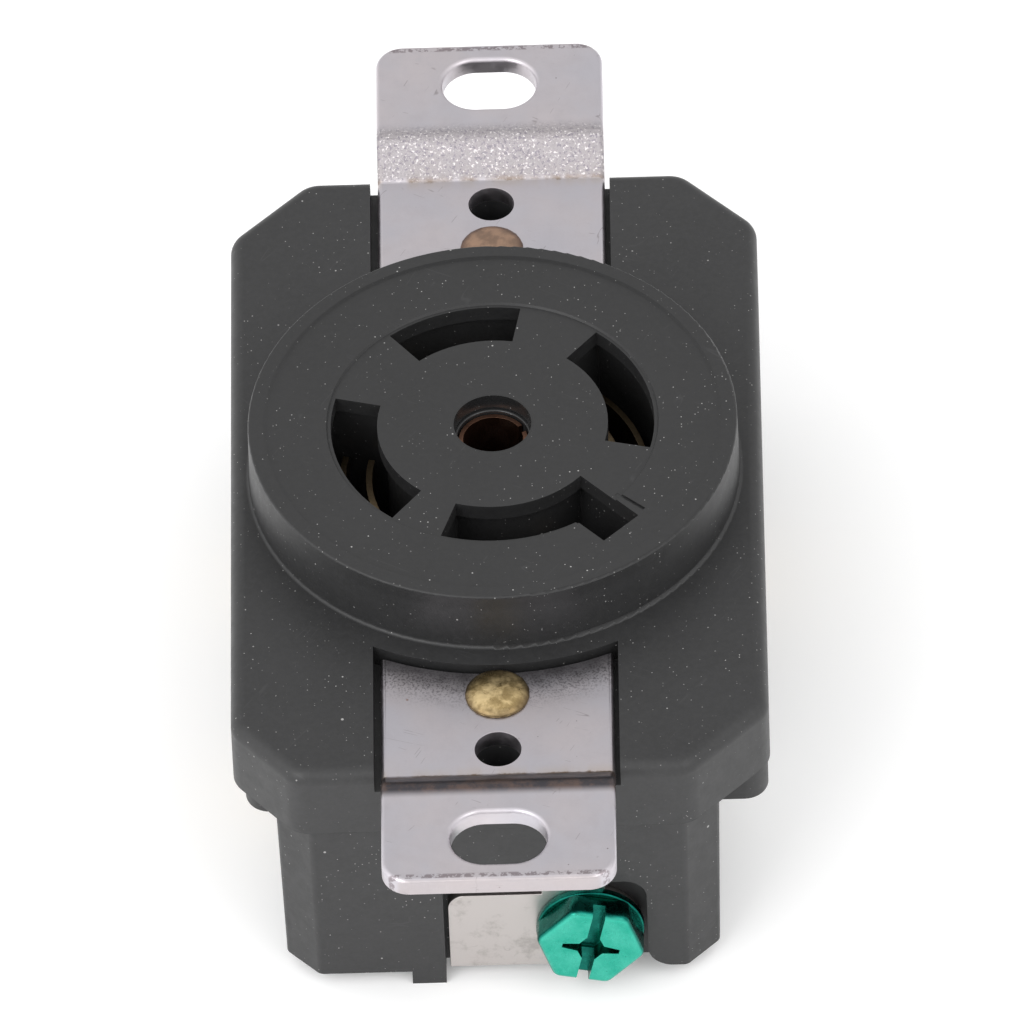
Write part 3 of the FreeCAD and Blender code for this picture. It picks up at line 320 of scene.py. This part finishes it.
def zinc_steel(name):
    """Zinc plated pressed steel: pitted, lightly scratched, stained along its bends, with painted shade
    beside the boss and on the lower ear's rise, and painted glints on the upper ear's rise.
    """
    shader = Shader(name)
    along = shader.axis("Y")
    reach = shader.math("ABSOLUTE", along)
    cloud = shader.ramp(shader.noise(150, 4.0, 0.6), 0.35, 0.65)
    shader.base = shader.blend(cloud, (0.555, 0.535, 0.575), (0.60, 0.555, 0.575))
    haze = shader.ramp(shader.noise(600, 6.0, 0.7), 0.40, 0.75)
    shader.coat(haze, (0.47, 0.455, 0.50), 0.35)
    pits = shader.most(shader.specks(1300, radius=0.11, share=0.10),
                       shader.specks(480, radius=0.075, share=0.16, seed=5.0))
    lines = shader.most(shader.hairlines(28, scale=900, width=0.012, share=0.63),
                        shader.hairlines(-70, scale=820, width=0.010, share=0.64))
    dark = shader.most(pits, shader.times(lines, 0.6))
    shader.coat(dark, (0.13, 0.10, 0.10), 0.70)
    rust = shader.specks(700, radius=0.10, share=0.035, seed=11.0)
    shader.coat(rust, (0.30, 0.15, 0.09), 0.6)

    ragged = shader.times(shader.noise(1300, 4.0, 0.7), 0.9 * MM)
    stain_folds(shader, reach, ragged)
    # Painted shadow of the boss on the lower ear.
    shade_beside_boss(shader, along, ragged)
    # Painted shade in the lower ear's rise.
    shade_lower_bend(shader, along)
    # Painted glints and painted shade on the upper ear's rise.
    upper_rise = paint_light_on_upper_bend(shader, along)
    wear_ends(shader, reach)

    rough = shader.ramp(shader.noise(900, 5.0, 0.7), 0.3, 0.7, 0.34, 0.46)
    sheared = shader.ramp(reach, EAR_END - 0.25 * MM, EAR_END - 0.05 * MM)
    striae = shader.noise(1500, 3.0, 0.6, shader.stretch((1.0, 1.0, 0.15)))
    shader.bump(shader.noise(2600, 5.0, 0.7), 0.06, 0.03 * MM)
    shader.bump(shader.times(upper_rise, shader.noise(4200, 4.0, 0.75)), 1.0, 0.10 * MM)
    shader.bump(shader.times(sheared, striae), 0.5, 0.12 * MM)
    shader.bump(dark, -0.6, 0.05 * MM)
    return shader.finish(Metallic=1.0, Roughness=rough)


# ---------------------------------------------------------------- other metals, and fibre

def worn_metal(name, colour, tarnish, roughness, cover):
    """Plain plated or bare metal with patches of tarnish, fine pits and a little wear."""
    shader = Shader(name)
    patches = shader.ramp(shader.noise(520, 5.0, 0.7), 0.62 - cover * 0.3, 0.80 - cover * 0.2)
    shader.base = shader.blend(patches, colour, tarnish)
    pits = shader.specks(1700, radius=0.13, share=0.10, seed=2.0)
    lines = shader.hairlines(40, scale=600, width=0.016, share=0.58)
    dark = shader.most(pits, shader.times(lines, 0.5))
    shader.coat(dark, scaled(tarnish, 0.35), 0.5)
    rough = shader.math("ADD", roughness, shader.ramp(patches, 0.0, 1.0, -0.04, 0.10))
    shader.bump(shader.noise(2200, 4.0, 0.65), 0.12, 0.03 * MM)
    shader.bump(dark, -0.5, 0.04 * MM)
    return shader.finish(Metallic=1.0, Roughness=rough)


def rivet_metal(name, centre, colour, warm, rim, roughness):
    """Hammered rivet head: bright patches in the middle and a darker rim, with small dents."""
    shader = Shader(name)
    patches = shader.ramp(shader.noise(650, 4.0, 0.65), 0.38, 0.62)
    shader.base = shader.blend(patches, colour, warm)
    out = shader.math("ADD", shader.spread_from(0.0, centre),
                      shader.times(shader.noise(700, 3.0, 0.6), 0.8 * MM))
    shader.coat(shader.ramp(out, RIVET_RIM_RADIUS, RIVET_RIM_RADIUS + 0.8 * MM), rim, 0.85)
    dents = shader.specks(1100, radius=0.22, share=0.35, seed=4.0)
    shader.coat(dents, rim, 0.35)
    rough = shader.ramp(shader.noise(1300, 4.0, 0.7), 0.3, 0.7, roughness - 0.05, roughness + 0.10)
    shader.bump(shader.noise(560, 3.0, 0.6), 0.35, 0.25 * MM)
    shader.bump(dents, -0.5, 0.05 * MM)
    return shader.finish(Metallic=1.0, Roughness=rough)


def green_steel(name):
    """Green dyed zinc: crown painted pale green as painted light, flats and shank painted deeper green as
    painted shade.
    """
    shader = Shader(name)
    cloud = shader.ramp(shader.noise(620, 4.0, 0.6), 0.3, 0.7)
    # Painted light: the crown painted pale green as lit.
    lit_green = shader.blend(cloud, (0.032, 0.40, 0.29), (0.065, 0.49, 0.37))
    # Painted shade: the flats and shank painted deeper green.
    shaded_green = shader.blend(cloud, (0.004, 0.095, 0.075), (0.010, 0.17, 0.13))
    behind = shader.ramp(shader.axis("Y"), CROWN_Y - 0.10 * MM, CROWN_Y + 0.10 * MM)
    shader.base = shader.blend(behind, lit_green, shaded_green)
    shader.coat(shader.specks(1900, radius=0.14, share=0.12, seed=8.0), (0.01, 0.10, 0.08), 0.5)
    shader.bump(shader.noise(1900, 4.0, 0.6), 0.14, 0.04 * MM)
    rough = shader.ramp(shader.noise(1500, 4.0, 0.6), 0.3, 0.7, 0.20, 0.34)
    return shader.finish(Metallic=1.0, Roughness=rough)


def fibre_sheet(name):
    """Vulcanised fibre: brown, matt, with a fine felted grain."""
    shader = Shader(name)
    felt = shader.noise(2400, 6.0, 0.8, shader.stretch((1.0, 3.0, 1.0)))
    shader.base = shader.blend(shader.ramp(felt, 0.3, 0.7), (0.22, 0.15, 0.09), (0.36, 0.27, 0.18))
    shader.bump(felt, 0.3, 0.04 * MM)
    return shader.finish(Roughness=0.85)


MATERIALS = {
    "black_nylon_face": moulded_nylon("face_nylon", (0.019, 0.019, 0.0195), roughness=0.45, dust=0.16),
    "black_nylon_body": moulded_nylon("body_nylon", (0.018, 0.018, 0.0185), roughness=0.47, dust=0.14),
    "zinc_steel": zinc_steel("zinc_steel"),
    "copper_rivet": rivet_metal("copper_rivet", UPPER_RIVET_Y, (0.28, 0.19, 0.14), warm=(0.42, 0.28, 0.20),
                                rim=(0.15, 0.10, 0.08), roughness=0.46),
    "brass_rivet": rivet_metal("brass_rivet", LOWER_RIVET_Y, (0.36, 0.26, 0.12), warm=(0.78, 0.60, 0.32),
                               rim=(0.10, 0.068, 0.038), roughness=0.30),
    # Painted shade: contact brass coloured far darker than brass, for the shade in the deep slots.
    "contact_brass": worn_metal("contact_brass", (0.20, 0.15, 0.09), tarnish=(0.10, 0.07, 0.045),
                                roughness=0.34, cover=0.5),
    # Painted shade: the sleeve coloured dark brown, for the shade inside the pin hole.
    "copper_sleeve": worn_metal("copper_sleeve", (0.20, 0.105, 0.07), tarnish=(0.10, 0.06, 0.045),
                                roughness=0.40, cover=0.6),
    "plated_strap": worn_metal("plated_strap", (0.53, 0.495, 0.48), tarnish=(0.42, 0.39, 0.375),
                               roughness=0.42, cover=0.45),
    "fibre": fibre_sheet("fibre"),
    "green_steel": green_steel("green_steel"),
    "clamp_steel": worn_metal("clamp_steel", (0.60, 0.60, 0.60), tarnish=(0.44, 0.43, 0.42),
                              roughness=0.32, cover=0.3),
    "brass_screw": worn_metal("brass_screw", (0.72, 0.53, 0.25), tarnish=(0.50, 0.35, 0.18),
                              roughness=0.28, cover=0.3),
    "nickel_screw": worn_metal("nickel_screw", (0.66, 0.65, 0.63), tarnish=(0.48, 0.46, 0.43),
                               roughness=0.26, cover=0.3),
}


# ---------------------------------------------------------------- pieces

def soften(item, width):
    """Give a CAD node's sharp edges a small real radius and smooth shading."""
    weld = item.modifiers.new("weld", "WELD")
    weld.merge_threshold = WELD_DISTANCE
    flat = item.modifiers.new("flat_faces", "DECIMATE")
    flat.decimate_type = "DISSOLVE"
    flat.angle_limit = FLAT_ANGLE
    bevel = item.modifiers.new("edges", "BEVEL")
    bevel.width = width
    bevel.segments = EDGE_SEGMENTS
    bevel.limit_method = "ANGLE"
    bevel.angle_limit = SHARP_ANGLE
    item.data.shade_smooth()
    item.modifiers.new("normals", "WEIGHTED_NORMAL")


def dress_nodes():
    slots = {row["node"]: row["material_slot"] for row in frame["record"]["subparts"]}
    for name, item in frame["nodes"].items():
        item.data.materials.clear()
        item.data.materials.append(MATERIALS[slots[name]])
        soften(item, EDGE_WIDTHS.get(name, EDGE_WIDTH))


# ---------------------------------------------------------------- floor, light and camera

def make_floor(level):
    """Pale floor that gives off a little light, so that it stays white."""
    bpy.ops.mesh.primitive_plane_add(size=FLOOR_SIZE, location=(0, 0, level))
    floor = bpy.context.object
    floor.name = "floor"
    shader = Shader("floor")
    shade = shader.ramp(shader.noise(3, 2.0), 0.3, 0.7)
    shader.base = shader.blend(shade, (0.90, 0.90, 0.90), (0.92, 0.92, 0.92))
    paint = shader.finish(Roughness=0.9, Emission_Color=shader.base, Emission_Strength=FLOOR_GLOW)
    floor.data.materials.append(paint)


def area_light(name, place, power):
    """Square lamp that points at the origin."""
    data = bpy.data.lights.new(name, "AREA")
    data.shape = "SQUARE"
    data.size = LAMP_SIZE
    data.energy = power
    item = bpy.data.objects.new(name, data)
    item.location = place
    item.rotation_euler = (-Vector(place)).to_track_quat("-Z", "Y").to_euler()
    bpy.context.scene.collection.objects.link(item)


def make_surround():
    """White surround, dimmer at the back and brighter on the left."""
    world = bpy.data.worlds.new("studio")
    world.use_nodes = True
    tree = world.node_tree
    background = tree.nodes["Background"]
    background.inputs["Color"].default_value = (1.0, 1.0, 1.0, 1.0)
    direction = tree.nodes.new("ShaderNodeSeparateXYZ")
    source = tree.nodes.new("ShaderNodeTexCoord")
    tree.links.new(source.outputs["Generated"], direction.inputs[0])
    product = tree.nodes.new("ShaderNodeMath")
    product.operation = "MULTIPLY"
    for factor, (axis, reach, strength) in zip(product.inputs, SURROUND):
        step = tree.nodes.new("ShaderNodeMapRange")
        step.interpolation_type = "SMOOTHSTEP"
        tree.links.new(direction.outputs[axis], step.inputs["Value"])
        labels = ("From Min", "From Max", "To Min", "To Max")
        for label, value in zip(labels, (*reach, *strength)):
            step.inputs[label].default_value = value
        tree.links.new(step.outputs[0], factor)
    tree.links.new(product.outputs[0], background.inputs["Strength"])
    bpy.context.scene.world = world


def make_camera():
    """Camera above the front, from far off, turned a little so the part leans left."""
    data = bpy.data.cameras.new("camera")
    data.lens = LENS_MM
    data.sensor_width = SENSOR_WIDTH_MM
    data.clip_start = CLIP_START
    data.clip_end = CLIP_END
    camera = bpy.data.objects.new("camera", data)
    back = Vector((math.sin(CAMERA_AZIMUTH) * math.cos(CAMERA_ELEVATION),
                   -math.cos(CAMERA_AZIMUTH) * math.cos(CAMERA_ELEVATION),
                   math.sin(CAMERA_ELEVATION)))
    camera.location = CAMERA_TARGET + CAMERA_DISTANCE * back
    aim = (-back).to_track_quat("-Z", "Y").to_matrix().to_4x4()
    camera.rotation_mode = "QUATERNION"
    camera.rotation_quaternion = (aim @ Matrix.Rotation(CAMERA_ROLL, 4, "Z")).to_quaternion()
    bpy.context.scene.collection.objects.link(camera)
    bpy.context.scene.camera = camera


dress_nodes()
bpy.context.scene.view_settings.view_transform = "Standard"
make_floor(cad_box[0].z)
make_surround()
for lamp, (lamp_place, lamp_power) in LAMPS.items():
    area_light(lamp, lamp_place, lamp_power)
make_camera()
